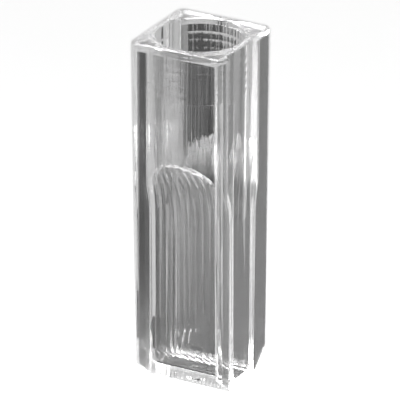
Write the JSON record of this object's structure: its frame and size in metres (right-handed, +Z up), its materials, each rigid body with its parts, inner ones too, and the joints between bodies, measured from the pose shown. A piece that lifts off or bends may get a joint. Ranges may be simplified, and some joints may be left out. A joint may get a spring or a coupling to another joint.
{
  "type": "cuvette",
  "caption": "Clear moulded semi-micro cuvette: a round filling tube above a narrow fluted measuring chamber, held between flat window plates.",
  "frame": {"origin": "middle of the foot, on the surface that the cuvette stands on", "axes": "+Z up to the mouth; X is the light path, out through the window plates; Y is across the recessed, fluted sides"},
  "size_m": [0.0124, 0.0124, 0.045],
  "materials": {
    "clear_plastic": "water-clear moulded polystyrene, polished windows, fine flutes on the ribbed sides"
  },
  "bodies": {
    "root": {"cuvette_body": "clear_plastic"}
  },
  "joints": []
}
